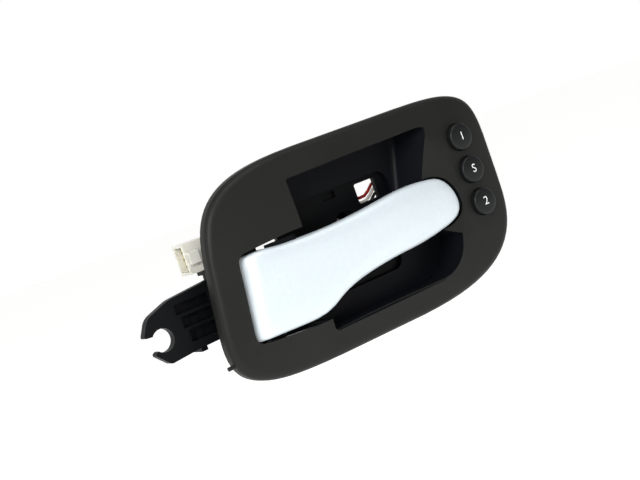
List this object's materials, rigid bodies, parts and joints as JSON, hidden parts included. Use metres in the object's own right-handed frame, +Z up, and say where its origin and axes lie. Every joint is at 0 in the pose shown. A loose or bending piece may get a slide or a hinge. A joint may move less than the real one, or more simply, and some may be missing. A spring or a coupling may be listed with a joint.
{
  "type": "car interior door handle",
  "caption": "Inside door handle of a car: oval-cornered bezel with finger recess, sprung pull lever, push buttons and a carrier frame with a clip arm.",
  "frame": {"origin": "middle of the bezel outline on the plane where its rim seats on the door trim", "axes": "+X along the handle from the lever's pivot to the buttons, +Y into the door, away from the user, +Z up"},
  "size_m": [0.1891, 0.0383, 0.0926],
  "materials": {
    "bezel_plastic": "finely grained black moulding, satin",
    "frame_plastic": "glass-filled black moulding, dull satin",
    "satin_silver": "satin silver-white",
    "zinc_steel": "zinc-plated",
    "spring_steel": "bright drawn spring steel",
    "sleeve_plastic": "black acetal",
    "black_rubber": "matt",
    "button_plastic": "soft-touch black",
    "grey_silicone": "matt silicone",
    "board_laminate": "green solder mask",
    "red_sheath": "smooth extruded sheath",
    "white_sheath": "smooth extruded sheath",
    "black_sheath": "smooth extruded sheath",
    "connector_nylon": "natural nylon, slightly translucent",
    "lock_nylon": "cream nylon",
    "tinned_brass": "tinned"
  },
  "bodies": {
    "root": {"bezel": "bezel_plastic", "frame": "frame_plastic", "pivot_bracket": "frame_plastic", "pivot_pin": "zinc_steel", "pin_clip": "spring_steel", "spring_sleeve": "sleeve_plastic", "return_spring": "spring_steel", "lever_bumper": "black_rubber", "keypad": "grey_silicone", "switch_board": "board_laminate", "switch_case": "frame_plastic", "switch_screws": "zinc_steel", "frame_screws": "zinc_steel", "bezel_clips": "spring_steel", "wire_red": "red_sheath", "wire_white": "white_sheath", "wire_black": "black_sheath", "wire_tie": "frame_plastic", "connector": "connector_nylon", "connector_lock": "lock_nylon", "connector_terminals": "tinned_brass"},
    "lever": {"lever": "satin_silver", "lever_carrier": "frame_plastic", "lever_crank": "frame_plastic", "carrier_screws": "zinc_steel"},
    "button_1": {"button_1": "button_plastic"},
    "button_set": {"button_set": "button_plastic"},
    "button_2": {"button_2": "button_plastic"}
  },
  "joints": [
    {"name": "lever_pull", "type": "hinge", "parent": "root", "child": "lever", "pos_m": [-0.056, 0.0005, -0.008], "axis": [0, 0, -1], "range_deg": [0, 32], "stiffness_Nm_per_rad": 0.15, "springref_deg": -28.65, "deforming": ["return_spring"]},
    {"name": "button_1_press", "type": "slide", "parent": "root", "child": "button_1", "axis": [0, 1, 0], "range_m": [0, 0.0014], "stiffness_N_per_m": 600, "springref_m": -0.0006, "deforming": ["keypad"]},
    {"name": "button_set_press", "type": "slide", "parent": "root", "child": "button_set", "axis": [0, 1, 0], "range_m": [0, 0.0014], "stiffness_N_per_m": 600, "springref_m": -0.0006, "deforming": ["keypad"]},
    {"name": "button_2_press", "type": "slide", "parent": "root", "child": "button_2", "axis": [0, 1, 0], "range_m": [0, 0.0014], "stiffness_N_per_m": 600, "springref_m": -0.0006, "deforming": ["keypad"]}
  ]
}
